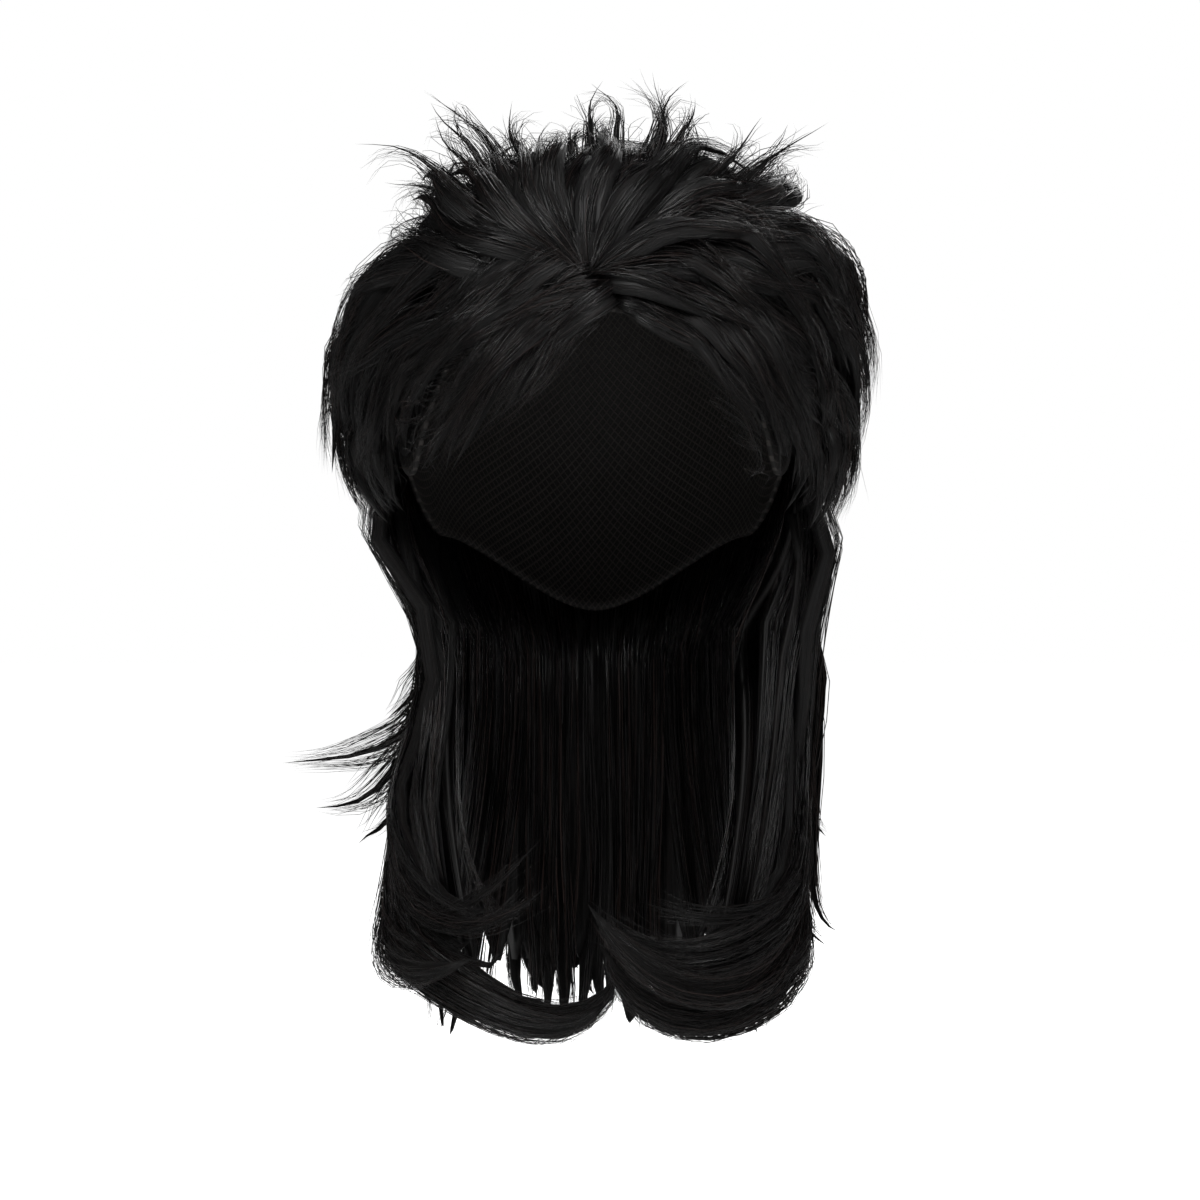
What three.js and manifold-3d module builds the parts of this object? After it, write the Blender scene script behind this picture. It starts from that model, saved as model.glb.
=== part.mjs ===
// A mullet wig as it is worn: a stretch cap with hair sewn to it in rows, called wefts.
// Short layered hair stands up on the crown, a parted fringe sweeps to both temples,
// and long hair hangs from the nape, beside the neck and forward over the collarbones.
// Millimetres, +Z up. The face looks along -Y, and the wearer's left is +X.
// The origin is the inside of the cap's crown, where the top of the head rests.
import * as THREE from "three";
import { mergeVertices } from "three/addons/utils/BufferGeometryUtils.js";
import Module from "manifold-3d";

const wasm = await Module();
wasm.setup();

// The head that the cap is cut for
const headBreadth = 154;
const headLength = 194;
const crownHeight = 98; // from the head's widest level up to the crown
const napeDepth = 100; // the same below that level, where the skull rounds in
const neckRadius = 52;
const neckBehind = 15; // the neck's axis lies this far behind the crown

// The cap
const capWall = 1.5;
const seatClearance = 0.8; // the hair's backing lies this far off the cap
const hairClearance = 0.5; // between one hair piece and the next
const hemShare = 0.96; // the wefts stop short of the cap's edge

// The hair
const hairVolume = 38; // how far the short hair stands off the crown
const shortLength = 80; // a short lock from root to tip
const hangLength = 230; // the long hair, from under the short hair to its lowest tips
const lockWidth = 34;
const lockThickness = 15;
const shortPacking = 0.6; // packed hair under the locks, as a share of its outline
const longPacking = 0.7;
const curtainLength = 0.86; // how far down the packed long hair goes, as a share of hangLength

// Where one layer of hair gives way to the next, as angles down from the crown
const crownSeamAngle = 38;
const napeSeamAngle = 94;
const hairlineAngle = 60;

// Mesh steps
const capColumns = 28;
const capRows = 7;
const backingColumns = 6;
const backingRows = 4;
const crownRows = 3;
const lockSides = 5;
const shortSteps = 5;
const longSteps = 7;

// How late a lock narrows to its tip, as the power of its taper
const shortTaperPower = 2.3;
const longTaperPower = 4;

const hairColour = 0x14110f;
const capColour = 0x1b1715;

// The cap's edge as an angle down from the crown, by the angle round from the face
const capEdge = [
  { round: 0, down: 60 }, // middle of the hairline
  { round: 42, down: 66 }, // corner of the forehead
  { round: 68, down: 97 }, // ear tab
  { round: 92, down: 89 }, // over the ear
  { round: 122, down: 110 }, // behind the ear
  { round: 180, down: 130 }, // nape
];

// How far the short hair stands off the head, as shares of hairVolume, by the angle down from
// the crown. right and left are the wearer's.
const shortOutline = [
  { down: 0, front: 1, right: 1, left: 1, back: 1 },
  { down: 25, front: 0.97, right: 0.95, left: 1, back: 0.95 },
  { down: 36, front: 0.87, right: 0.84, left: 1.18, back: 0.95 },
  { down: 48, front: 0.66, right: 0.84, left: 1.21, back: 0.92 },
  { down: 60, front: 0.32, right: 0.87, left: 1.05, back: 0.87 },
  { down: 72, front: 0.24, right: 0.92, left: 0.92, back: 0.84 },
  { down: 84, front: 0.24, right: 0.79, left: 0.82, back: 0.79 },
  { down: 95, front: 0.21, right: 0.63, left: 0.71, back: 0.74 },
  { down: 107, front: 0.21, right: 0.53, left: 0.63, back: 0.68 },
  { down: 130, front: 0.21, right: 0.32, left: 0.42, back: 0.53 },
];

// How far the long hair stands off the head and neck, as shares of hairVolume, by how far down
// it is as a share of hangLength
const longOutline = [
  { drop: 0, front: 0.13, right: 0.5, left: 0.6, back: 0.7 },
  { drop: 0.15, front: 0.2, right: 0.4, left: 0.68, back: 0.72 },
  { drop: 0.28, front: 0.45, right: 0.52, left: 1.08, back: 0.85 },
  { drop: 0.42, front: 0.36, right: 0.66, left: 1.02, back: 0.8 },
  { drop: 0.58, front: 0.36, right: 0.91, left: 0.91, back: 0.84 },
  { drop: 0.84, front: 0.42, right: 0.91, left: 0.88, back: 0.8 },
  { drop: 1, front: 0.36, right: 0.5, left: 0.6, back: 0.6 },
];

// Where the long hair's front edge lies, as an angle round the neck from the face
const longFront = [
  { drop: 0, round: 97 },
  { drop: 0.3, round: 95 },
  { drop: 0.5, round: 72 },
  { drop: 0.67, round: 56 },
  { drop: 0.84, round: 42 },
];

// Wefts of short hair. Angles are degrees: round from the face towards the wearer's left, and
// down from the crown. A heading of 0 runs straight down the head and 90 to the wearer's left;
// turn is how much it veers on the way. length is a share of shortLength, lift and flick are
// shares of the outline that a lock rises to and adds at its tip.
const shortWefts = [
  { piece: "crown_hair", locks: 6, round: [-44, 46], down: [43, 43], heading: [216, 142],
    turn: 0, length: 1.05, lift: 0.86, flick: 0.36, width: 1, thickness: 0.95 },
  { piece: "crown_hair", locks: 2, round: [-80, 80], down: [6, 6], heading: [-12, 12],
    turn: 0, length: 0.84, lift: 1, flick: 0.14, width: 1.25, thickness: 1 },
  { piece: "crown_hair", locks: 3, round: [-50, -118], down: [28, 26], heading: [-18, 2],
    turn: 10, length: 1, lift: 1, flick: 0.06, width: 1.15, thickness: 1 },
  { piece: "crown_hair", locks: 3, round: [50, 118], down: [28, 26], heading: [22, -2],
    turn: -10, length: 1, lift: 1, flick: 0.06, width: 1.15, thickness: 1 },
  { piece: "crown_hair", locks: 3, round: [150, 210], down: [18, 18], heading: [-12, 12],
    turn: 0, length: 1.08, lift: 1, flick: 0.08, width: 1.25, thickness: 1 },
  { piece: "fringe_right", locks: 3, round: [-4, -20], down: [55, 47], heading: [-58, -66],
    turn: 0, length: 1.16, lift: 0.95, flick: 0, width: 0.85, thickness: 0.62 },
  { piece: "fringe_left", locks: 3, round: [4, 22], down: [54, 47], heading: [58, 72],
    turn: -22, length: 1.16, lift: 0.92, flick: -0.05, width: 0.85, thickness: 0.65 },
  { piece: "side_right", locks: 3, round: [-34, -106], down: [46, 46], heading: [-60, -6],
    turn: 26, length: 1, lift: 0.84, flick: 0.08, width: 1.15, thickness: 0.9 },
  { piece: "side_right", locks: 3, round: [-58, -108], down: [66, 66], heading: [-22, 2],
    turn: 8, length: 0.84, lift: 0.94, flick: 0.06, width: 1.2, thickness: 0.95 },
  { piece: "side_left", locks: 3, round: [34, 106], down: [46, 46], heading: [68, 6],
    turn: -26, length: 1, lift: 0.84, flick: 0.1, width: 1.15, thickness: 0.9 },
  { piece: "side_left", locks: 3, round: [58, 108], down: [66, 66], heading: [22, -2],
    turn: -8, length: 0.88, lift: 0.94, flick: 0.04, width: 1.2, thickness: 0.95 },
  { piece: "back_hair", locks: 4, round: [134, 226], down: [46, 46], heading: [-6, 6],
    turn: 0, length: 0.95, lift: 0.86, flick: 0.08, width: 1.3, thickness: 0.9 },
  { piece: "back_hair", locks: 5, round: [126, 234], down: [70, 70], heading: [-2, 2],
    turn: 0, length: 0.86, lift: 0.95, flick: 0.08, width: 1.25, thickness: 0.95 },
];

// Wefts of long hair, which hangs round the neck. fall is a share of hangLength, and wrap is how
// far a lock's tip has come round towards the face, in degrees. layer is 0 against the neck and
// 1 at the outline, flare is how far the tip swings out, as a share of hairVolume, and hook is
// how far past its lowest point the tip turns up, as a share of a quarter turn.
const longWefts = [
  { piece: "tail_right", locks: 2, round: [-110, -138], down: [97, 97], fall: [0.75, 0.87],
    wrap: [34, 26], layer: 1, flare: 0, hook: 0, width: 1.2, thickness: 1 },
  { piece: "tail_right", locks: 1, round: [-112, -112], down: [104, 104], fall: [0.455, 0.455],
    wrap: [20, 20], layer: 0.95, flare: 0.9, hook: 0, width: 0.8, thickness: 0.9 },
  { piece: "tail_right", locks: 2, round: [-112, -138], down: [106, 114], fall: [0.73, 0.8],
    wrap: [100, 126], layer: 0.55, flare: 0, hook: 0.22, width: 1.35, thickness: 1.2 },
  { piece: "tail_left", locks: 2, round: [110, 138], down: [97, 97], fall: [0.865, 0.89],
    wrap: [30, 24], layer: 1, flare: 0.05, hook: 0, width: 1.2, thickness: 1.05 },
  { piece: "tail_left", locks: 2, round: [112, 138], down: [106, 114], fall: [0.73, 0.81],
    wrap: [92, 120], layer: 0.6, flare: 0, hook: 0.42, width: 1.45, thickness: 1.25 },
  { piece: "tail_back", locks: 3, round: [156, 204], down: [97, 97], fall: [0.91, 0.91],
    wrap: [0, 0], layer: 1, flare: 0, hook: 0, width: 1.35, thickness: 1 },
  { piece: "tail_back", locks: 2, round: [168, 192], down: [116, 116], fall: [0.82, 0.82],
    wrap: [0, 0], layer: 0.4, flare: 0, hook: 0, width: 1.2, thickness: 1 },
];

// The stretch of the head that each piece's backing covers, listed from the top layer to the
// lowest: round and down from the crown, or for the long hair round the neck, where null is its
// front edge
const backings = [
  { piece: "crown_hair", round: [-180, 180], down: [0, crownSeamAngle] },
  { piece: "fringe_right", round: [-30, 0], down: [crownSeamAngle, hairlineAngle] },
  { piece: "fringe_left", round: [0, 30], down: [crownSeamAngle, hairlineAngle] },
  { piece: "side_right", round: [-122, -30], down: [crownSeamAngle, napeSeamAngle] },
  { piece: "side_left", round: [30, 122], down: [crownSeamAngle, napeSeamAngle] },
  { piece: "back_hair", round: [122, 238], down: [crownSeamAngle, napeSeamAngle] },
  { piece: "tail_right", neck: [-150, null] },
  { piece: "tail_left", neck: [null, 150] },
  { piece: "tail_back", neck: [150, 210] },
];

const radians = THREE.MathUtils.degToRad;
const degrees = THREE.MathUtils.radToDeg;
const mix = THREE.MathUtils.lerp;
const between = ([from, to], share) => mix(from, to, share);
const steps = (count) => Array.from({ length: count + 1 }, (_, i) => i / count);

// A table's columns at a value that may lie between two rows
function rowAt(table, column, value) {
  const above = table.findIndex((row) => row[column] >= value);
  const next = above < 0 ? table.length - 1 : Math.max(1, above);
  const [from, to] = [table[next - 1], table[next]];
  const share = (value - from[column]) / (to[column] - from[column]);
  const blend = (name) => mix(from[name], to[name], THREE.MathUtils.clamp(share, 0, 1));
  return Object.fromEntries(Object.keys(to).map((name) => [name, blend(name)]));
}

// An outline row's value at an angle round from the face
function roundRow(row, round) {
  const side = Math.sin(radians(round));
  const ends = Math.cos(radians(round)) > 0 ? row.front : row.back;
  return mix(ends, side < 0 ? row.right : row.left, side * side);
}

// The direction out of the head's middle, round from the face and down from the crown
function direction(round, down) {
  const r = radians(round);
  const d = radians(down);
  return new THREE.Vector3(Math.sin(d) * Math.sin(r), -Math.sin(d) * Math.cos(r), Math.cos(d));
}

// The half lengths of the head's rounded form, which is deeper or shallower below its middle
function headAxes(towards) {
  const rise = towards.z < 0 ? napeDepth : crownHeight;
  return new THREE.Vector3(headBreadth / 2, headLength / 2, rise);
}

function outward(towards) {
  return towards.clone().divide(headAxes(towards)).normalize();
}

// The point that stands off the head by a height, in a direction from its middle
function overHead(towards, height) {
  const middle = new THREE.Vector3(0, 0, -crownHeight);
  return middle
    .add(towards.clone().multiply(headAxes(towards)))
    .addScaledVector(outward(towards), height);
}

// How far the short hair stands off the head in a direction
function standOff(towards) {
  const round = degrees(Math.atan2(towards.x, -towards.y));
  const row = rowAt(shortOutline, "down", degrees(Math.acos(towards.z)));
  return hairVolume * roundRow(row, round);
}

// The cap's edge at an angle round the head
function edgeDown(round) {
  const away = Math.abs(((((round + 180) % 360) + 360) % 360) - 180);
  const next = Math.max(1, capEdge.findIndex((row) => row.round >= away));
  const share = THREE.MathUtils.smoothstep(away, capEdge[next - 1].round, capEdge[next].round);
  return mix(capEdge[next - 1].down, capEdge[next].down, share);
}

// The point at a distance from the neck's axis, at an angle round it and a height
function roundNeck(round, reach, height) {
  const r = radians(round);
  return new THREE.Vector3(reach * Math.sin(r), neckBehind - reach * Math.cos(r), height);
}

// How far the cap or the neck, whichever is wider, reaches from the neck's axis
function wearerReach(round, height) {
  const off = capWall + seatClearance;
  const level = (height + crownHeight) / (napeDepth + off);
  const shrink = Math.sqrt(Math.max(0, 1 - level * level));
  const neck = neckRadius + off;
  if (shrink === 0) return neck;
  const x = Math.sin(radians(round)) / ((headBreadth / 2 + off) * shrink);
  const y = Math.cos(radians(round)) / ((headLength / 2 + off) * shrink);
  const shift = neckBehind / ((headLength / 2 + off) * shrink);
  const a = x * x + y * y;
  const inside = y * y * shift * shift - a * (shift * shift - 1);
  return inside < 0 ? neck : Math.max(neck, (y * shift + Math.sqrt(inside)) / a);
}

// The height where the long hair starts, and how far down it a height is
const hangTop = overHead(direction(180, napeSeamAngle), 0).z;
const dropAt = (height) => (hangTop - height) / hangLength;

// How far the long hair reaches from the neck's axis, at an angle round it and a height
function hairReach(round, height) {
  const stand = roundRow(rowAt(longOutline, "drop", dropAt(height)), round);
  return wearerReach(round, height) + hairVolume * stand;
}

// A closed surface through a list of rings, with a point at each end
function loft(start, rings, end) {
  const around = rings[0].length;
  const points = [start, ...rings.flat(), end];
  const at = (ring, i) => 1 + ring * around + (i % around);
  const faces = [];
  for (let i = 0; i < around; i++) {
    faces.push(0, at(0, i), at(0, i + 1));
    for (let ring = 1; ring < rings.length; ring++) {
      faces.push(at(ring - 1, i), at(ring, i), at(ring, i + 1));
      faces.push(at(ring - 1, i), at(ring, i + 1), at(ring - 1, i + 1));
    }
    faces.push(at(rings.length - 1, i + 1), at(rings.length - 1, i), points.length - 1);
  }
  return new THREE.BufferGeometry().setFromPoints(points).setIndex(faces);
}

// A closed wall between an inner sheet of points, side 0, and an outer one, side 1
function wall(columns, rows, pointAt) {
  const points = [0, 1].flatMap((side) =>
    steps(rows).flatMap((down) => steps(columns).map((across) => pointAt(across, down, side))),
  );
  const at = (side, i, j) => (side * (rows + 1) + j) * (columns + 1) + i;
  const faces = [];
  const quad = (a, b, c, d) => faces.push(a, b, c, a, c, d);
  for (let j = 0; j < rows; j++) {
    for (let i = 0; i < columns; i++) {
      quad(at(1, i, j), at(1, i, j + 1), at(1, i + 1, j + 1), at(1, i + 1, j));
      quad(at(0, i, j), at(0, i + 1, j), at(0, i + 1, j + 1), at(0, i, j + 1));
    }
    quad(at(0, 0, j), at(0, 0, j + 1), at(1, 0, j + 1), at(1, 0, j));
    quad(at(1, columns, j), at(1, columns, j + 1), at(0, columns, j + 1), at(0, columns, j));
  }
  for (let i = 0; i < columns; i++) {
    quad(at(0, i, 0), at(1, i, 0), at(1, i + 1, 0), at(0, i + 1, 0));
    quad(at(1, i, rows), at(0, i, rows), at(0, i + 1, rows), at(1, i + 1, rows));
  }
  return new THREE.BufferGeometry().setFromPoints(points).setIndex(faces);
}

function solidOf(geometry) {
  const bare = geometry.clone().deleteAttribute("normal").deleteAttribute("uv");
  const merged = mergeVertices(bare);
  return new wasm.Manifold(
    new wasm.Mesh({
      numProp: 3,
      vertProperties: merged.attributes.position.array,
      triVerts: new Uint32Array(merged.index.array),
    }),
  );
}

function geometryOf(solid) {
  const mesh = solid.getMesh();
  return new THREE.BufferGeometry()
    .setAttribute("position", new THREE.BufferAttribute(mesh.vertProperties, 3))
    .setIndex(new THREE.BufferAttribute(mesh.triVerts, 1));
}

// The largest body of a solid: a cut can leave crumbs that hold on to nothing
function mainBody(solid) {
  return solid.decompose().reduce((best, body) => (body.volume() > best.volume() ? body : best));
}

// A shell over the whole crown, down its outside and up its inside
function crownShell(lowest, outerHeight, innerHeight, rows) {
  const rings = (heightOf) =>
    steps(rows)
      .slice(1)
      .map((share) =>
        Array.from({ length: capColumns }, (_, i) => {
          const round = (360 * i) / capColumns;
          const towards = direction(round, share * lowest(round));
          return overHead(towards, heightOf(towards));
        }),
      );
  const top = direction(0, 0);
  const outside = rings(outerHeight);
  const inside = rings(innerHeight).reverse();
  const [start, end] = [overHead(top, outerHeight(top)), overHead(top, innerHeight(top))];
  return solidOf(loft(start, [...outside, ...inside], end));
}

// The cap, or with growth the room that it takes
function wigCap(grow) {
  const edge = (round) => edgeDown(round) + degrees(grow / crownHeight);
  return crownShell(edge, () => capWall + grow, () => -grow, capRows);
}

// How far the middle of a flat facet lies below its edges, where it spans an angle of an arc
const facetDip = (radius, angle) => radius * (1 - Math.cos(radians(angle / 2)));

// The packed hair next to the cap, between two angles round the head
function headBacking({ round, down }, grow) {
  const whole = down[0] === 0;
  const columns = whole ? capColumns : backingColumns;
  const rows = whole ? crownRows : backingRows;
  const dip =
    facetDip(crownHeight, (round[1] - round[0]) / columns) +
    facetDip(crownHeight, (down[1] - down[0]) / rows);
  const foot = capWall + seatClearance + dip - grow;
  const seam = degrees((hairClearance / 2 - grow) / crownHeight);
  const packed = (towards) => standOff(towards) * shortPacking + grow;
  if (whole) return crownShell(() => down[1] - seam, packed, () => foot, rows);
  return solidOf(
    wall(columns, rows, (across, share, side) => {
      const angle = mix(round[0] + seam, round[1] - seam, across);
      const lowest = Math.min(down[1], edgeDown(angle) * hemShare);
      const towards = direction(angle, mix(down[0] + seam, lowest - seam, share));
      return overHead(towards, side ? packed(towards) * (1 - 0.4 * share ** 6) : foot);
    }),
  );
}

// The packed long hair, which hangs from the nape like a curtain
function neckBacking({ neck }, grow) {
  const seam = degrees((hairClearance / 2 - grow) / neckRadius);
  const top = hangTop - hairClearance / 2 + grow;
  const foot = hangTop - curtainLength * hangLength - grow;
  const rows = backingRows * 2;
  return solidOf(
    wall(backingColumns, rows, (across, share, side) => {
      const height = mix(top, foot, share);
      const front = rowAt(longFront, "drop", dropAt(height)).round;
      const from = neck[0] ?? front;
      const to = neck[1] ?? -front;
      const angle = mix(from + seam, to - seam, across);
      const dip =
        facetDip(neckRadius, (to - from) / backingColumns) +
        facetDip(napeDepth, degrees((top - foot) / rows / napeDepth));
      const inner = wearerReach(angle, height) + dip;
      if (!side) return roundNeck(angle, inner - grow, height);
      const fill = longPacking - 0.4 * share ** 5;
      return roundNeck(angle, mix(inner, hairReach(angle, height), fill) + grow, height);
    }),
  );
}

// A lock's width along its length, as a share of its widest. Long locks taper late.
function lockTaper(share, late) {
  const shoulder = 0.7 + 0.3 * Math.sin(Math.PI * Math.min(1, share * 1.4));
  return shoulder * (1 - share ** late);
}

// A lock round a list of stations, each a point with the way out of the head there
function lockSolid({ stations, width, thickness, late }, grow) {
  const last = stations.length - 1;
  const along = stations.map(({ point }, i) => {
    const before = stations[Math.max(0, i - 1)].point;
    const after = stations[Math.min(last, i + 1)].point;
    return after.clone().sub(before).normalize();
  });
  const rings = stations.slice(0, last).map(({ point, out }, i) => {
    const across = new THREE.Vector3().crossVectors(along[i], out).normalize();
    const up = new THREE.Vector3().crossVectors(across, along[i]);
    const taper = lockTaper(i / last, late);
    return Array.from({ length: lockSides }, (_, k) => {
      const angle = (2 * Math.PI * k) / lockSides;
      return point
        .clone()
        .addScaledVector(across, (taper * width * 0.5 + grow) * Math.cos(angle))
        .addScaledVector(up, (taper * thickness * 0.5 + grow) * Math.sin(angle));
    });
  });
  const start = stations[0].point.clone().addScaledVector(along[0], -hairClearance - grow);
  const end = stations[last].point.clone().addScaledVector(along[last], 2 * grow);
  return solidOf(loft(start, rings, end));
}

// The stations of a short lock, a share of the way along its weft
function shortStations(weft, share) {
  const round = between(weft.round, share);
  const towards = direction(round, between(weft.down, share));
  const heading = radians(between(weft.heading, share));
  const going = direction(round, between(weft.down, share) + 90).multiplyScalar(Math.cos(heading));
  going.addScaledVector(direction(round + 90, 90), Math.sin(heading));
  const stride = (weft.length * shortLength) / (headLength / 2) / shortSteps;
  const veer = -radians(weft.turn) / shortSteps;
  const thickness = lockThickness * weft.thickness;
  return steps(shortSteps).map((s) => {
    const rise = Math.sin((Math.PI / 2) * Math.min(1, 0.35 + s / 0.9));
    const half = (thickness * lockTaper(s, shortTaperPower)) / 2;
    const full = standOff(towards) * (weft.lift * rise + weft.flick * s ** 3);
    const height = Math.max(full - half, capWall + seatClearance + half + hairClearance);
    const station = { point: overHead(towards, height), out: outward(towards) };
    towards.addScaledVector(going, stride).normalize();
    going.applyAxisAngle(towards, veer).addScaledVector(towards, -going.dot(towards)).normalize();
    return station;
  });
}

// The stations of a long lock, which hangs from its root and comes round the neck
function longStations(weft, share) {
  const root = overHead(direction(between(weft.round, share), between(weft.down, share)), 0);
  const rootRound = degrees(Math.atan2(root.x, neckBehind - root.y));
  const side = Math.sign(rootRound) || 1;
  const thickness = lockThickness * weft.thickness;
  return steps(longSteps).map((s) => {
    const drop = Math.sin((Math.PI / 2) * (1 + weft.hook) * s);
    const height = root.z - hangLength * between(weft.fall, share) * drop;
    const swing = THREE.MathUtils.smoothstep(s, 0.2, 1);
    const round = rootRound - side * between(weft.wrap, share) * swing;
    const half = (thickness * lockTaper(s, longTaperPower)) / 2;
    const inner = wearerReach(round, height) + half + hairClearance;
    const outer = hairReach(round, height) - half;
    const rise = weft.layer * Math.sin((Math.PI / 2) * Math.min(1, 0.4 + s / 0.5));
    const swingOut = hairVolume * weft.flare * s ** 4;
    const reach = Math.max(inner, mix(inner, outer, rise)) + swingOut;
    return { point: roundNeck(round, reach, height), out: direction(round, 90) };
  });
}

// Every lock of a piece, from both tables
function locksOf(piece) {
  const rows = [
    ...shortWefts.map((weft) => ({ weft, stationsOf: shortStations, late: shortTaperPower })),
    ...longWefts.map((weft) => ({ weft, stationsOf: longStations, late: longTaperPower })),
  ].filter(({ weft }) => weft.piece === piece);
  return rows.flatMap(({ weft, stationsOf, late }) =>
    Array.from({ length: weft.locks }, (_, i) => ({
      stations: stationsOf(weft, weft.locks > 1 ? i / (weft.locks - 1) : 0.5),
      width: lockWidth * weft.width,
      thickness: lockThickness * weft.thickness,
      late,
    })),
  );
}

// A piece's backing and locks as one solid, or with growth the room that they take
function hairForm(backing, grow) {
  const locks = locksOf(backing.piece).map((lock) => lockSolid(lock, grow));
  const packed = backing.neck ? neckBacking(backing, grow) : headBacking(backing, grow);
  return wasm.Manifold.union([packed, ...locks]);
}

function meshOf(name, solid, colour, roughness) {
  const material = new THREE.MeshStandardMaterial({ color: colour, roughness, metalness: 0 });
  const mesh = new THREE.Mesh(geometryOf(solid), material);
  mesh.name = name;
  return mesh;
}

const wig = new THREE.Group();
wig.add(meshOf("wig_cap", wigCap(0), capColour, 0.9));

// Each hair piece gives way to the cap and to the pieces that lie over it
let taken = wigCap(hairClearance);
for (const backing of backings) {
  const piece = mainBody(hairForm(backing, 0).subtract(taken));
  wig.add(meshOf(backing.piece, piece, hairColour, 0.45));
  taken = taken.add(hairForm(backing, hairClearance));
}

export default wig;
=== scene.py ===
import bmesh
import bpy
import numpy as np
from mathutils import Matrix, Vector


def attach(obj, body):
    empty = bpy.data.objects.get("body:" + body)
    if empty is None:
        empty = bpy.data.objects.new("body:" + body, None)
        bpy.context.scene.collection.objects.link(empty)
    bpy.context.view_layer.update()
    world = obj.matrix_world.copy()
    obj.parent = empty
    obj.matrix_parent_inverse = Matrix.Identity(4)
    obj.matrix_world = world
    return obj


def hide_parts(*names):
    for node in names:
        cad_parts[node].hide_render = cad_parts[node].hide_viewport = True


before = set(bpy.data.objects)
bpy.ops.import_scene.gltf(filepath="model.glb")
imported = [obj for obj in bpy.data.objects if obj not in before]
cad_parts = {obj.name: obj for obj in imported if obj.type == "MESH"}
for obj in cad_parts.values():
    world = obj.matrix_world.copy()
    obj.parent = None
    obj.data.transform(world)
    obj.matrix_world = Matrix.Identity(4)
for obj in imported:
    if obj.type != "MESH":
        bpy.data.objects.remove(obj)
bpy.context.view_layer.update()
scene = bpy.context.scene
rng = np.random.default_rng(31)

# the head that the cap is cut for
headBreadth, headLength = 0.154, 0.194
crownHeight, napeDepth = 0.098, 0.100
neckRadius, neckBehind = 0.052, 0.015
capWall, seatClearance = 0.0015, 0.0008
capGap, wearerGap, outlineGap = 0.0008, 0.0015, 0.0008  # hair keeps off the cap, the wearer and the outline
hairRoot = 0.0012  # how far over the cap the hair starts
hairVolume = 0.038  # how far the short hair stands off the crown
shortLength = 0.080
hangLength = 0.230
napeSeamAngle = 94

# the cap's edge: round from the face, down from the crown
capEdge = np.array([[0, 60], [42, 66], [68, 97], [92, 89], [122, 110], [180, 130]], float)

# how far the hair stands off, as shares of hairVolume: down, front, right, left, back
shortOutline = np.array([
    [0, 1, 1, 1, 1], [25, 0.97, 1.12, 1.22, 0.95], [36, 0.9, 1.14, 1.4, 0.95],
    [48, 0.7, 1.08, 1.38, 0.92], [60, 0.34, 0.98, 1.14, 0.87], [72, 0.24, 0.95, 0.96, 0.84],
    [84, 0.24, 0.79, 0.82, 0.79], [95, 0.21, 0.63, 0.71, 0.74], [107, 0.21, 0.53, 0.63, 0.68],
    [130, 0.21, 0.32, 0.42, 0.53]])
# the same by how far down the long hair it is: drop, front, right, left, back
longOutline = np.array([
    [0, 0.13, 0.72, 0.72, 0.7], [0.15, 0.2, 0.56, 0.84, 0.72], [0.28, 0.45, 0.4, 1.08, 0.85],
    [0.42, 0.36, 0.5, 1.02, 0.8], [0.58, 0.36, 0.88, 0.91, 0.84],
    [0.84, 0.42, 0.91, 0.88, 0.8], [1, 0.36, 0.5, 0.6, 0.6]])
longFront = np.array([[0, 97], [0.3, 95], [0.5, 72], [0.67, 56], [0.84, 42]], float)


def mix(a, b, share):
    return a + (b - a) * share


def unit(v):
    return v / np.maximum(np.linalg.norm(v, axis=-1, keepdims=True), 1e-9)


def smooth(value, low, high):
    share = np.clip((value - low) / (high - low), 0, 1)
    return share * share * (3 - 2 * share)


def directionOf(around, down):
    r, d = np.radians(around), np.radians(down)
    return np.stack([np.sin(d) * np.sin(r), -np.sin(d) * np.cos(r), np.cos(d) + 0 * r], -1)


def anglesOf(towards):
    around = np.degrees(np.arctan2(towards[..., 0], -towards[..., 1]))
    return around, np.degrees(np.arccos(np.clip(towards[..., 2], -1, 1)))


def headAxes(towards):
    rise = np.where(towards[..., 2] < 0, napeDepth, crownHeight)
    return np.stack([0 * rise + headBreadth / 2, 0 * rise + headLength / 2, rise], -1)


def outward(towards):
    return unit(towards / headAxes(towards))


def overHead(towards, height):
    middle = np.array([0, 0, -crownHeight])
    return middle + towards * headAxes(towards) + outward(towards) * np.asarray(height)[..., None]


# nothing goes through the cap
def keepOff(points):
    middle = np.array([0, 0, -crownHeight])
    towards = points - middle
    size = np.linalg.norm(towards / headAxes(towards), axis=-1, keepdims=True)
    least = 1 + (capWall + capGap) / (headBreadth / 2)
    return middle + towards * np.where(size > 0.7, np.maximum(1, least / size), 1)


def outlineShare(table, value, around):
    front, right, left, back = (np.interp(value, table[:, 0], table[:, i]) for i in range(1, 5))
    side = np.sin(np.radians(around))
    ends = np.where(np.cos(np.radians(around)) > 0, front, back)
    return mix(ends, np.where(side < 0, right, left), side ** 2)


def standOff(towards):
    around, down = anglesOf(towards)
    return hairVolume * outlineShare(shortOutline, down, around)


def edgeDown(around):
    away = np.abs((np.asarray(around, float) + 180) % 360 - 180)
    nextRow = np.clip(np.searchsorted(capEdge[:, 0], away), 1, len(capEdge) - 1)
    low, high = capEdge[nextRow - 1], capEdge[nextRow]
    return mix(low[..., 1], high[..., 1], smooth(away, low[..., 0], high[..., 0]))


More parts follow.
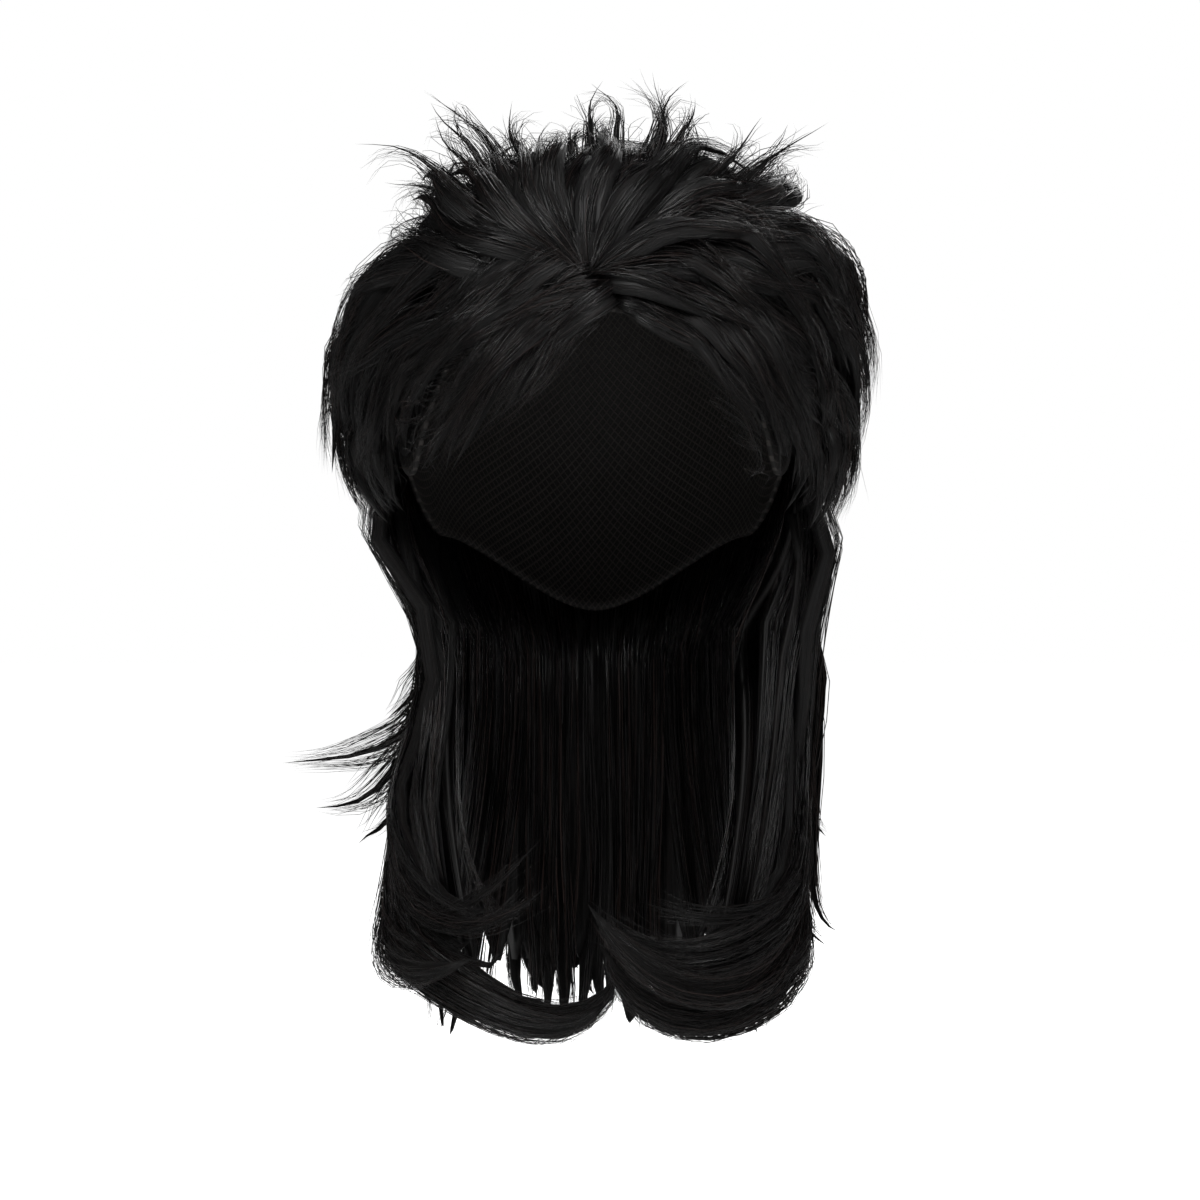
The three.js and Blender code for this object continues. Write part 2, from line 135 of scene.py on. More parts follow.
def wearerReach(around, height):
    off = capWall + seatClearance
    level = (height + crownHeight) / (napeDepth + off)
    shrink = np.sqrt(np.maximum(1e-6, 1 - level ** 2))
    x = np.sin(np.radians(around)) / ((headBreadth / 2 + off) * shrink)
    y = np.cos(np.radians(around)) / ((headLength / 2 + off) * shrink)
    shift = neckBehind / ((headLength / 2 + off) * shrink)
    a = x * x + y * y
    inside = y * y * shift * shift - a * (shift * shift - 1)
    head = (y * shift + np.sqrt(np.maximum(inside, 0))) / a
    return np.where(inside < 0, neckRadius + off, np.maximum(neckRadius + off, head))


hangTop = float(overHead(directionOf(180, napeSeamAngle), 0)[2])


def hairReach(around, height):
    share = outlineShare(longOutline, (hangTop - height) / hangLength, around)
    return wearerReach(around, height) + hairVolume * share


def roundNeck(around, reach, height):
    r = np.radians(around)
    return np.stack([reach * np.sin(r), neckBehind - reach * np.cos(r), height + 0 * r], -1)


# the swirl at the front of the crown, which the short hair grows away from
swirlRound, swirlDown = -2.0, 53.0
swirl = directionOf(swirlRound, swirlDown)


# paths over the head from each root, with the way out of the head along them
def shortPaths(start, steps):
    towards = start["towards"].copy()
    going = start["going"].copy()
    turn = -np.radians(start["turn"] * start["reach"])[:, None] / steps
    stride = (start["length"] * start["reach"])[:, None] * shortLength / (headLength / 2) / steps
    points, outs = [], []
    for i in range(steps + 1):
        s = start["reach"] * i / steps
        rise = np.sin(np.pi / 2 * np.minimum(1, start["sprout"] + s / 0.62))
        lifted = start["lift"] * rise * start["layer"] + start["flick"] * s ** start["sweep"]
        full = standOff(towards) * lifted
        points.append(overHead(towards, np.maximum(full, capWall + hairRoot)))
        outs.append(outward(towards))
        towards = unit(towards + going * stride)
        going = going * np.cos(turn) + np.cross(towards, going) * np.sin(turn)
        going = unit(going - towards * np.sum(going * towards, -1, keepdims=True))
    return np.stack(points, 1), np.stack(outs, 1)


def longPaths(start, steps):
    root = overHead(directionOf(start["around"], start["down"]), 0)
    rootRound = np.degrees(np.arctan2(root[:, 0], neckBehind - root[:, 1]))
    side = np.where(rootRound < 0, -1, 1)
    points, outs = [], []
    for i in range(steps + 1):
        s = start["reach"] * i / steps
        drop = np.sin(np.pi / 2 * (1 + start["hook"]) * s)
        height = root[:, 2] - hangLength * start["fall"] * drop
        around = rootRound - side * start["wrap"] * smooth(s, start["swing"], 1)
        inner = wearerReach(around, height) + wearerGap
        outer = hairReach(around, height) - outlineGap
        rise = start["layer"] * np.sin(np.pi / 2 * np.minimum(1, start["sprout"] + s / start["burst"]))
        reach = np.maximum(inner, mix(inner, outer, rise)) + hairVolume * start["flare"] * s ** 4
        points.append(roundNeck(around, reach, height))
        outs.append(directionOf(around, 90))
    return np.stack(points, 1), np.stack(outs, 1)


# a value along a row, given as one number or as its two ends
def along(ends, share):
    return ends if np.ndim(ends) == 0 else mix(ends[0], ends[1], share)


def headingFrame(around, down, heading):
    h = np.radians(heading)[..., None]
    return directionOf(around, down + 90) * np.cos(h) + directionOf(around + 90, 90 + 0 * down) * np.sin(h)


def atShares(paths, shares):
    steps = paths.shape[1] - 1
    place = np.clip(shares * steps, 0, steps - 1e-6)
    low = place.astype(int)
    rows = np.arange(len(paths))[:, None]
    return mix(paths[rows, low], paths[rows, low + 1], (place - low)[..., None])


# draws each strand towards its lock's guide, and gives both the lock's waves
def combed(points, guides, guideOuts, lockOf, outs, row, reach):
    count, steps, locks = len(points), points.shape[1] - 1, len(guides)
    even = np.linspace(0, 1, steps + 1)[None, :]
    s = even * reach[:, None]
    hold = row.get("clump", 0.9) * smooth(s, 0.05, 0.85) * rng.uniform(0.84, 1.05, (count, 1))
    loose = rng.random((count, 1)) < row.get("loose", 0.03)
    hold = np.where(loose, 0.15 * hold, np.minimum(hold, 0.97))
    points = mix(points, atShares(guides[lockOf], s), hold[..., None])
    across = unit(np.cross(unit(np.gradient(points, axis=1)), outs))
    size = row.get("wave", 0.002)
    turns = rng.uniform(0.7, 1.5, (locks, 1)) * row.get("turns", 1.0)
    phase = rng.random((locks, 1))
    bend = rng.normal(0, 1, (locks, 1)) * row.get("curl", 0.0)
    droop = rng.uniform(-0.2, 1, (locks, 1)) * row.get("droop", 0.0)

    def waves(share, pick):
        t, f = turns[pick], phase[pick]
        swing = np.sin(2 * np.pi * (t * share + f)) - (1 - share) * np.sin(2 * np.pi * f)
        sway = size * swing * share ** 0.7
        lift = 0.5 * size * np.sin(2 * np.pi * (0.8 * t * share + 1.7 * f)) * share
        tip = smooth(share, 0.35, 1.25) * 2
        return sway + bend[pick] * tip, lift - droop[pick] * smooth(share, 0.55, 1.2) * 2

    sideways, upwards = waves(s, lockOf)
    own = rng.normal(0, 1, (count, 2)) * row.get("frizz", 0.0007) * np.where(loose, 3.5, 1)
    ownTurns, ownPhase = rng.uniform(1.0, 2.4, (count, 1)), rng.random((count, 2))
    sideways = sideways + own[:, :1] * np.sin(2 * np.pi * (ownTurns * s + ownPhase[:, :1])) * s ** 0.6
    upwards = upwards + own[:, 1:] * np.sin(2 * np.pi * (ownTurns * s + ownPhase[:, 1:])) * s ** 0.6
    fray = rng.normal(0, row.get("fray", 0.0015), (count, 2))
    hookBack = rng.uniform(0.1, 1, (count, 1)) * row.get("hooked", 0.0)
    curlTo = np.sign(bend[lockOf] + 0.6 * row.get("curl", 0.0) * rng.normal(0, 1, (count, 1)) + 1e-9)
    sideways = sideways + fray[:, :1] * s ** 4 + curlTo * hookBack * smooth(s, 0.5, 1.0)
    upwards = upwards + fray[:, 1:] * s ** 4 - 1.2 * hookBack * smooth(s, 0.72, 1.04)
    guideAcross = unit(np.cross(unit(np.gradient(guides, axis=1)), guideOuts))
    guideSide, guideUp = waves(even + np.zeros((locks, 1)), np.arange(locks))
    guides = guides + guideAcross * guideSide[..., None] + guideOuts * guideUp[..., None]
    return keepOff(points + across * sideways[..., None] + outs * upwards[..., None]), guides


def lockCores(guides, outs, row):
    width, thickness, sides = *row.get("core", (0.017, 0.009)), 9
    k = guides.shape[1] - 1
    tangent = unit(np.gradient(guides, axis=1))
    across = unit(np.cross(tangent, outs))
    up = np.cross(across, tangent)
    s = np.linspace(0, 1, k + 1)
    fullness = 0.65 + 0.35 * np.sin(np.pi * np.minimum(1, s * 1.5))
    taper = (fullness * (1 - s ** row.get("late", 2.2)))[None, :, None]
    middle = keepOff(guides - up * thickness * 0.62)
    rings = []
    for i in range(sides):
        angle = 2 * np.pi * i / sides
        aside = across * taper * width / 2 * np.cos(angle)
        rings.append(keepOff(middle + aside + up * taper * thickness / 2 * np.sin(angle)))
    count = len(guides)
    body = np.stack(rings, 2)[:, :k].reshape(count, k * sides, 3)
    co = np.concatenate([body, middle[:, k:]], 1).reshape(-1, 3)
    base = (np.arange(count) * (sides * k + 1))[:, None, None]
    ring, corner = np.meshgrid(np.arange(k - 1) * sides, np.arange(sides), indexing="ij")
    after = (corner + 1) % sides
    quads = np.stack([ring + sides + corner, ring + sides + after, ring + after, ring + corner], -1)
    quads = (base + quads.reshape(1, -1, 4)).reshape(-1, 4)
    last = sides * (k - 1)
    tris = [[sides * k, last + (c + 1) % sides, last + c] for c in range(sides)]
    tris += [[0, c, c + 1] for c in range(1, sides - 1)]
    tris = (base + np.array(tris)[None]).reshape(-1, 3)
    first = rng.random(count) * 0.7
    u = first[:, None, None] + np.abs(np.linspace(-0.25, 0.25, sides))[None, None, :] + np.zeros((1, k, 1))
    v = 0 * u + s[None, :k, None]
    tip = np.stack([first, np.ones(count)], -1)[:, None]
    uv = np.concatenate([np.stack([u, v], -1).reshape(count, k * sides, 2), tip], 1).reshape(-1, 2)
    return co, quads, tris, uv


def growShort(row):
    steps = row.get("steps", 8)
    locks, count = row["locks"], row["strands"]
    even = (np.arange(locks) + 0.5) / locks
    lockShare = even + rng.uniform(-0.3, 0.3, locks) / locks
    lockOf = rng.integers(0, locks, count)
    spread = row.get("spread", 1.1)
    share = lockShare[lockOf] + rng.uniform(-0.5, 0.5, count) * spread / locks

    def startAt(t, lockValues, n, own):
        if "ring" in row:
            # a ring round the swirl: angle round it and distance from it
            angle = along(row["ring"], t)
            far = row["far"] + lockValues["down"] + own * rng.uniform(-1, 1, n) * row.get("band", 4)
            tangent = headingFrame(np.full(n, swirlRound), np.full(n, swirlDown), angle)
            f = np.radians(far)[:, None]
            towards = unit(swirl * np.cos(f) + tangent * np.sin(f))
            going = unit(-swirl * np.sin(f) + tangent * np.cos(f))
            bend = np.radians(lockValues["heading"])[:, None]
            going = going * np.cos(bend) + np.cross(towards, going) * np.sin(bend)
        else:
            around = along(row["around"], t)
            down = along(row["down"], t) + lockValues["down"]
            down = down + own * rng.uniform(-1, 1, n) * row.get("band", 4)
            towards = directionOf(around, down)
            going = headingFrame(around, down, along(row["heading"], t) + lockValues["heading"])
        return {
            "towards": towards, "going": going,
            "turn": along(row.get("turn", 0), t) + lockValues["turn"],
            "length": along(row["length"], t) * lockValues["length"],
            "reach": 1 - own * row.get("thin", 0.26) * rng.random(n) ** 1.3,
            "lift": (along(row["lift"], t) + row.get("shoulder", 0) * np.abs(2 * t - 1)) * lockValues["lift"],
            "flick": along(row.get("flick", 0), t) * lockValues["flick"],
            "layer": lockValues["layer"] * (1 - own * row.get("depth", 0.4) * rng.random(n) ** 1.5),
            "sprout": row.get("sprout", 0.18), "sweep": row.get("sweep", 3),
        }

    lockValues = {
        "heading": rng.normal(0, row.get("stray", 7), locks),
        "down": rng.uniform(-1, 1, locks) * row.get("band", 4) * 0.6,
        "turn": rng.normal(0, row.get("strayTurn", 10), locks),
        "length": rng.uniform(0.86, 1.1, locks),
        "lift": rng.uniform(0.88, 1.06, locks),
        "flick": rng.uniform(*row.get("flicks", (0.4, 1.25)), locks),
        "layer": rng.uniform(row.get("lowest", 0.68), 1.04, locks),
    }
    guides, guideOuts = shortPaths(startAt(lockShare, lockValues, locks, 0), steps)
    each = {key: value[lockOf] for key, value in lockValues.items()}
    each["heading"] = each["heading"] + rng.normal(0, 3, count)
    start = startAt(share, each, count, 1)
    paths, outs = shortPaths(start, steps)
    paths, guides = combed(paths, guides, guideOuts, lockOf, outs, row, start["reach"])
    return paths, outs, guides, guideOuts, lockOf


def growLong(row):
    steps = row.get("steps", 12)
    locks, count = row["locks"], row["strands"]
    lockShare = (np.arange(locks) + 0.5) / locks + rng.uniform(-0.25, 0.25, locks) / locks
    lockOf = rng.integers(0, locks, count)
    share = lockShare[lockOf] + rng.uniform(-0.5, 0.5, count) * row.get("spread", 1.1) / locks

    def startAt(t, lockValues, n, own):
        return {
            "around": along(row["around"], t),
            "down": along(row["down"], t) + own * rng.uniform(-1, 1, n) * row.get("band", 3),
            "fall": along(row["fall"], t) * lockValues["fall"],
            "reach": 1 - own * row.get("thin", 0.2) * rng.random(n) ** 1.3,
            "wrap": along(row.get("wrap", 0), t) * lockValues["wrap"],
            "layer": along(row["layer"], t) * lockValues["layer"]
            * (1 - own * row.get("depth", 0.35) * rng.random(n) ** 1.4),
            "flare": along(row.get("flare", 0), t) * lockValues["flare"],
            "hook": along(row.get("hook", 0), t) * lockValues["hook"],
            "swing": row.get("swing", 0.2),
            "sprout": row.get("sprout", 0.3), "burst": row.get("burst", 0.16),
        }

    lockValues = {
        "fall": rng.uniform(0.94, 1.03, locks),
        "wrap": 1 + rng.uniform(-1, 0.5, locks) * row.get("wrapStray", 0.07),
        "layer": rng.uniform(0.85, 1.0, locks), "flare": rng.uniform(0.6, 1.25, locks),
        "hook": rng.uniform(0.8, 1.15, locks),
    }
    guides, guideOuts = longPaths(startAt(lockShare, lockValues, locks, 0), steps)
    each = {key: value[lockOf] for key, value in lockValues.items()}
    start = startAt(share, each, count, 1)
    paths, outs = longPaths(start, steps)
    paths, guides = combed(paths, guides, guideOuts, lockOf, outs, row, start["reach"])
    return paths, outs, guides, guideOuts, lockOf


def through(knots, shares):
    # a smooth line through the knots, at even shares of its way
    place = np.clip(shares * (len(knots) - 1), 0, len(knots) - 1 - 1e-6)
    i = place.astype(int)
    f = (place - i)[:, None]
    ends = np.concatenate([2 * knots[:1] - knots[1:2], knots, 2 * knots[-1:] - knots[-2:-1]])
    a, b, c, d = ends[i], ends[i + 1], ends[i + 2], ends[i + 3]
    return b + 0.5 * f * (c - a + f * (2 * a - 5 * b + 4 * c - d + f * (3 * (b - c) + d - a)))


# locks drawn by knots: round the neck, millimetres below the crown, layer, millimetres of flare
def growDrawn(row):
    steps, count = row.get("steps", 14), row["strands"]
    even = np.linspace(0, 1, steps + 1)
    guides, guideOuts = [], []
    for knots in row["drawn"]:
        line = through(np.array(knots, float), even)
        height = line[:, 1] / 1000
        inner = wearerReach(line[:, 0], height) + wearerGap
        outer = hairReach(line[:, 0], height) - outlineGap
        guides.append(roundNeck(line[:, 0], mix(inner, outer, line[:, 2]) + line[:, 3] / 1000, height))
        guideOuts.append(directionOf(row.get("facing", line[:, 0]), 90 + 0 * height))
    guides, guideOuts = np.array(guides), np.array(guideOuts)
    shares = np.array(row.get("portions", [1] * len(guides)), float)
    lockOf = rng.choice(len(guides), count, p=shares / shares.sum())
    reach = 1 - row.get("thin", 0.4) * rng.random(count) ** 1.2
    s = even[None, :] * reach[:, None]
    points, outs = atShares(guides[lockOf], s), atShares(guideOuts[lockOf], s)
    across = unit(np.cross(unit(np.gradient(points, axis=1)), outs))
    swell = np.interp(s, *row.get("swell", ((0, 0.6, 1), (1, 0.8, 0.2))))
    aside = rng.random((count, 1))
    aside = row["dense"] * (0.5 - aside ** 1.8) if "dense" in row else aside - 0.5
    aside = aside * row["breadth"] * swell
    above = rng.uniform(-0.5, 0.5, (count, 1)) * row.get("deep", 0.004) * swell
    points = points + across * aside[..., None] + outs * above[..., None]
    paths, guides = combed(points, guides, guideOuts, lockOf, outs, row, reach)
    return paths, outs, guides, guideOuts, lockOf


def tubeArrays(points, outs, width, taperFrom, shade):
    count, rings = points.shape[:2]
    k = rings - 1
    tangent = unit(np.gradient(points, axis=1))
    across = unit(np.cross(tangent, outs))
    up = np.cross(across, tangent)
    s = np.linspace(0, 1, rings)[None, :k]
    taper = 0.12 + 0.88 * np.clip((1 - s) / (1 - taperFrom), 0, 1) ** 0.8
    taper = taper * (0.75 + 0.25 * smooth(s, 0, 0.25))
    roll = rng.uniform(-0.7, 0.7, (count, 1))
    corners = []
    for angle in (90, 210, 330):
        a, b = np.cos(np.radians(angle)), np.sin(np.radians(angle)) * 0.55
        x = (a * np.cos(roll) - b * np.sin(roll)) * taper * width[:, None] / 2
        y = (a * np.sin(roll) + b * np.cos(roll)) * taper * width[:, None] / 2
        corners.append(points[:, :k] + across[:, :k] * x[..., None] + up[:, :k] * y[..., None])
    body = np.stack(corners, 2).reshape(count, k * 3, 3)
    co = np.concatenate([body, points[:, k:]], 1).reshape(-1, 3)
    base = (np.arange(count) * (3 * k + 1))[:, None, None]
    ring, corner = np.meshgrid(np.arange(k - 1) * 3, np.arange(3), indexing="ij")
    nextCorner = (corner + 1) % 3
    quads = np.stack([ring + 3 + corner, ring + 3 + nextCorner, ring + nextCorner, ring + corner], -1)
    quads = (base + quads.reshape(1, -1, 4)).reshape(-1, 4)
    last = 3 * (k - 1)
    tris = [[3 * k, last + (c + 1) % 3, last + c] for c in range(3)] + [[0, 1, 2]]
    tris = (base + np.array(tris)[None]).reshape(-1, 3)
    u = shade[:, None, None] + np.array([0, 0.0015, 0.003])[None, None, :] + 0 * s[..., None]
    v = 0 * u + s[..., None]
    tip = np.stack([shade + 0.0015, np.ones(count)], -1)[:, None]
    uv = np.concatenate([np.stack([u, v], -1).reshape(count, k * 3, 2), tip], 1).reshape(-1, 2)
    return co, quads, tris, uv


def gridArrays(pointAt, columns, rows, closed):
    across, down = np.meshgrid(np.arange(columns + 1) / columns, np.arange(rows + 1) / rows)
    sheets = [pointAt(across, down, side).reshape(-1, 3) for side in (0, 1)]
    uvs = np.stack([across, down], -1).reshape(-1, 2) * 0.98 + 0.01
    i, j = np.meshgrid(np.arange(columns), np.arange(rows))
    i, j = i.ravel(), j.ravel()

    def at(side, column, row):
        return (side * (rows + 1) + row) * (columns + 1) + column

    quads = [
        np.stack([at(1, i, j), at(1, i, j + 1), at(1, i + 1, j + 1), at(1, i + 1, j)], -1),
        np.stack([at(0, i, j), at(0, i + 1, j), at(0, i + 1, j + 1), at(0, i, j + 1)], -1)]
    edge, side = np.arange(columns), np.arange(rows)
    for near, far in ((0, 1), (1, 0)):
        if not closed:
            ends = near * columns + 0 * side
            quads.append(np.stack([at(near, ends, side), at(near, ends, side + 1),
                                   at(far, ends, side + 1), at(far, ends, side)], -1))
        ends = near * rows + 0 * edge
        quads.append(np.stack([at(near, edge, ends), at(far, edge, ends),
                               at(far, edge + 1, ends), at(near, edge + 1, ends)], -1))
    return np.concatenate(sheets), np.concatenate(quads), np.zeros((0, 3), int), np.concatenate([uvs, uvs])


def meshObject(name, parts, materials):
    co, faces, totals, uvs, slots = [], [], [], [], []
    offset = 0
    for corners, quads, tris, uv, slot in parts:
        co.append(corners)
        uvs.append(uv)
        for kind in (quads, tris):
            if len(kind):
                faces.append((kind + offset).ravel())
                totals.append(np.full(len(kind), kind.shape[1]))
                slots.append(np.full(len(kind), slot))
        offset += len(corners)
    co, faces, totals = np.concatenate(co), np.concatenate(faces), np.concatenate(totals)
    mesh = bpy.data.meshes.new(name)
    mesh.vertices.add(len(co))
    mesh.vertices.foreach_set("co", co.astype(np.float32).ravel())
    mesh.loops.add(len(faces))
    mesh.loops.foreach_set("vertex_index", faces.astype(np.int32))
    mesh.polygons.add(len(totals))
    mesh.polygons.foreach_set("loop_start", (np.cumsum(totals) - totals).astype(np.int32))
    mesh.polygons.foreach_set("use_smooth", np.ones(len(totals), bool))
    for material in materials:
        mesh.materials.append(material)
    mesh.polygons.foreach_set("material_index", np.concatenate(slots).astype(np.int32))
    bakeMap = mesh.uv_layers.new(name="OFBake")
    bakeMap.data.foreach_set("uv", np.concatenate(uvs)[faces].astype(np.float32).ravel())
    mesh.update(calc_edges=True)
    made = bpy.data.objects.new(name, mesh)
    scene.collection.objects.link(made)
    return made


def weld(piece):
    work = bmesh.new()
    work.from_mesh(piece.data)
    bmesh.ops.remove_doubles(work, verts=work.verts, dist=1e-6)
    work.to_mesh(piece.data)
    work.free()


# materials: every pattern is read off the bake map, across a strand's shade and along it

def nodeGroup(name, inputs, outputs):
    group = bpy.data.node_groups.new(name, "ShaderNodeTree")
    for title, kind, value in inputs:
        socket = group.interface.new_socket(title, in_out="INPUT", socket_type="NodeSocket" + kind)
        if value is not None:
            socket.default_value = value
    for title, kind in outputs:
        group.interface.new_socket(title, in_out="OUTPUT", socket_type="NodeSocket" + kind)
    return group, group.nodes.new("NodeGroupInput"), group.nodes.new("NodeGroupOutput")


def mathNode(tree, operation, *given):
    node = tree.nodes.new("ShaderNodeMath")
    node.operation = operation
    for place, value in enumerate(given):
        if isinstance(value, (int, float)):
            node.inputs[place].default_value = value
        else:
            tree.links.new(value, node.inputs[place])
    return node.outputs[0]


def rangeNode(tree, value, fromEnds, toEnds=(0, 1)):
    node = tree.nodes.new("ShaderNodeMapRange")
    node.inputs["From Min"].default_value, node.inputs["From Max"].default_value = fromEnds
    node.inputs["To Min"].default_value, node.inputs["To Max"].default_value = toEnds
    tree.links.new(value, node.inputs["Value"])
    return node.outputs["Result"]


def blendNode(tree, share, first, second):
    node = tree.nodes.new("ShaderNodeMix")
    node.data_type = "RGBA"
    for place, value in ((0, share), (6, first), (7, second)):
        tree.links.new(value, node.inputs[place])
    return node.outputs[2]


def noiseNode(tree, dimensions, scale, detail, socket, value):
    node = tree.nodes.new("ShaderNodeTexNoise")
    node.noise_dimensions = dimensions
    node.inputs["Scale"].default_value = scale
    node.inputs["Detail"].default_value = detail
    tree.links.new(value, node.inputs[socket])
    return node.outputs["Fac"]


# streaks along the hair, partly random strand tone and partly painted highlight: strands are lighter where
# the noise is high, and warm in some locks
def strandTintAndGlint():
    group, given, out = nodeGroup(
        "strand_tint_and_glint",
        [("Map", "Vector", None), ("Fibre", "Color", (0.01, 0.01, 0.01, 1)),
         ("GreyStreakAndGlint", "Color", (0.01, 0.01, 0.01, 1)), ("WarmStreakAndGlint", "Color", (0.02, 0.012, 0.01, 1)),
         ("Bands", "Float", 260.0), ("Roughness", "Float", 0.4), ("Spread", "Float", 0.12)],
        [("Color", "Color"), ("Roughness", "Float"), ("Band", "Float")])
    split = group.nodes.new("ShaderNodeSeparateXYZ")
    place = group.nodes.new("ShaderNodeCombineXYZ")
    link = group.links.new
    link(given.outputs["Map"], split.inputs[0])
    link(mathNode(group, "MULTIPLY", split.outputs["X"], given.outputs["Bands"]), place.inputs["X"])
    link(mathNode(group, "MULTIPLY", split.outputs["Y"], 2.5), place.inputs["Y"])
    streaks = rangeNode(group, noiseNode(group, "2D", 1.0, 2.0, "Vector", place.outputs[0]), (0.42, 0.74))
    warmth = rangeNode(group, noiseNode(group, "1D", 9.0, 0.0, "W", split.outputs["X"]), (0.5, 0.68))
    # the lighter streak colour, grey or warm by lock, is painted highlight as well as strand tone
    streakAndGlintColour = blendNode(group, warmth, given.outputs["GreyStreakAndGlint"], given.outputs["WarmStreakAndGlint"])
    link(blendNode(group, streaks, given.outputs["Fibre"], streakAndGlintColour), out.inputs["Color"])
    varied = mathNode(group, "MULTIPLY_ADD", streaks, given.outputs["Spread"], given.outputs["Roughness"])
    link(varied, out.inputs["Roughness"])
    link(streaks, out.inputs["Band"])
    return group


# the pattern takes values by socket name, fixed are the shader's own, relief is socket, strength, depth
def patterned(name, pattern, values, fixed, relief):
    material = bpy.data.materials.new(name)
    material.use_nodes = True
    nodes, link = material.node_tree.nodes, material.node_tree.links.new
    shader = nodes["Principled BSDF"]
    place = nodes.new("ShaderNodeUVMap")
    place.uv_map = "OFBake"
    look = nodes.new("ShaderNodeGroup")
    look.node_tree = pattern
    for title, value in values.items():
        look.inputs[title].default_value = value
    link(place.outputs[0], look.inputs["Map"])
    link(look.outputs["Color"], shader.inputs["Base Color"])
    if "Roughness" in look.outputs:
        link(look.outputs["Roughness"], shader.inputs["Roughness"])
    for title, value in fixed.items():
        shader.inputs[title].default_value = value
    if relief:
        bump = nodes.new("ShaderNodeBump")
        bump.inputs["Strength"].default_value, bump.inputs["Distance"].default_value = relief[1:]
        link(look.outputs[relief[0]], bump.inputs["Height"])
        link(bump.outputs["Normal"], shader.inputs["Normal"])
    return material


tint = strandTintAndGlint()
# the hair's lighter strands are painted highlight lines over the near-black fibre, mixed with random strand
# tone
strandLook = patterned(
    "hair_strands", tint,
    {"Fibre": (0.0024, 0.0022, 0.0022, 1), "GreyStreakAndGlint": (0.018, 0.0172, 0.0172, 1),
     "WarmStreakAndGlint": (0.03, 0.018, 0.0155, 1),
     "Bands": 240.0, "Roughness": 0.2, "Spread": 0.2},
    {"IOR": 1.5, "Specular IOR Level": 0.34}, None)
packedLook = patterned(
    "hair_packed", tint,
    {"Fibre": (0.003, 0.0028, 0.0028, 1), "GreyStreakAndGlint": (0.005, 0.0048, 0.0048, 1),
     "WarmStreakAndGlint": (0.008, 0.0055, 0.005, 1),
     "Bands": 110.0, "Roughness": 0.42, "Spread": 0.2},
    {"IOR": 1.5, "Specular IOR Level": 0.2}, ("Band", 0.7, 0.0006))
print("materials made")


def packedHead(stretch, columns, rows, fill, closed=False):
    def pointAt(across, share, side):
        around = along(stretch["around"], across)
        lowest = np.minimum(stretch["down"][1], edgeDown(around) * 0.955)
        towards = directionOf(around, mix(stretch["down"][0], lowest, share))
        thick = standOff(towards) * fill * (1 - share ** 3) * (1 if closed else smooth(share, -0.12, 0.2))
        if not side:
            return overHead(towards, capWall + 0.0006 + 0 * thick)
        return overHead(towards, np.maximum(thick, capWall + hairRoot))
    return gridArrays(pointAt, columns, rows, closed)


def packedNeck(side, columns, rows, fill, length):
    hemPoint, tuck = 0.045, 0.016  # pointed hem, and how far it goes up under the short hair

    def pointAt(across, share, outside):
        points = hemPoint * (np.abs(across * columns / 4 % 1 - 0.5) * 4 - 1)
        height = hangTop + tuck - share * ((length + points) * hangLength + tuck)
        front = np.interp((hangTop - height) / hangLength, longFront[:, 0], longFront[:, 1])
        behind = across if side > 0 else 1 - across
        around = mix(147, 213, across)
        thin = fill * (1 - 0.75 * share ** 5) * smooth(share, 0.02, 0.3)
        if side:
            around = side * mix(front - 3 + 14 * smooth(share, 0.2, 0.5), 153, behind)
            thin = thin * (1 - 0.9 * (1 - behind) ** 4)
        inner = wearerReach(around, height) + 0.005
        if not outside:
            return roundNeck(around, inner, height)
        return roundNeck(around, mix(inner, hairReach(around, height), thin) + 0.0006, height)
    return gridArrays(pointAt, columns, rows, False)


def dressPiece(piece):
    parts = []
    for row in piece["rows"]:
        grow = growDrawn if "drawn" in row else growLong if "fall" in row else growShort
        points, outs, guides, guideOuts, lockOf = grow(row)
        width = row.get("width", 0.00046) * rng.uniform(0.72, 1.15, len(points))
        shade = (rng.random(len(guides))[lockOf] + rng.uniform(-0.09, 0.09, len(points))) % 1 * 0.98
        parts.append((*tubeArrays(points, outs, width, row.get("taper", 0.5), shade), 0))
        if row.get("core", True):
            parts.append((*lockCores(guides, guideOuts, row), 1))
    parts.append((*piece["packed"], 1))
    made = meshObject(piece["name"], parts, [strandLook, packedLook])
    if piece.get("weld"):
        weld(made)
    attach(made, "root")
    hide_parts(piece["node"])
    triangles = sum(2 * len(p[1]) + len(p[2]) for p in parts)
    print(piece["name"], "strands:", sum(r["strands"] for r in piece["rows"]), "triangles:", triangles)
    return made


# what the crown's spikes share, and what the tufts at its sides share
spiky = {"length": 0.22, "lift": 0.6, "sweep": 1.1, "steps": 8, "width": 0.00046, "clump": 0.8,
         "fray": 0.0025, "thin": 0.4, "spread": 1.0}
tufted = {"far": 42, "locks": 14, "strands": 190, "flicks": (0.6, 1.2), "sweep": 1.4, "curl": 0.004,
          "hooked": 0.01, "steps": 9, "band": 14, "width": 0.0004, "clump": 0.8, "fray": 0.002,
          "thin": 0.4, "core": False}

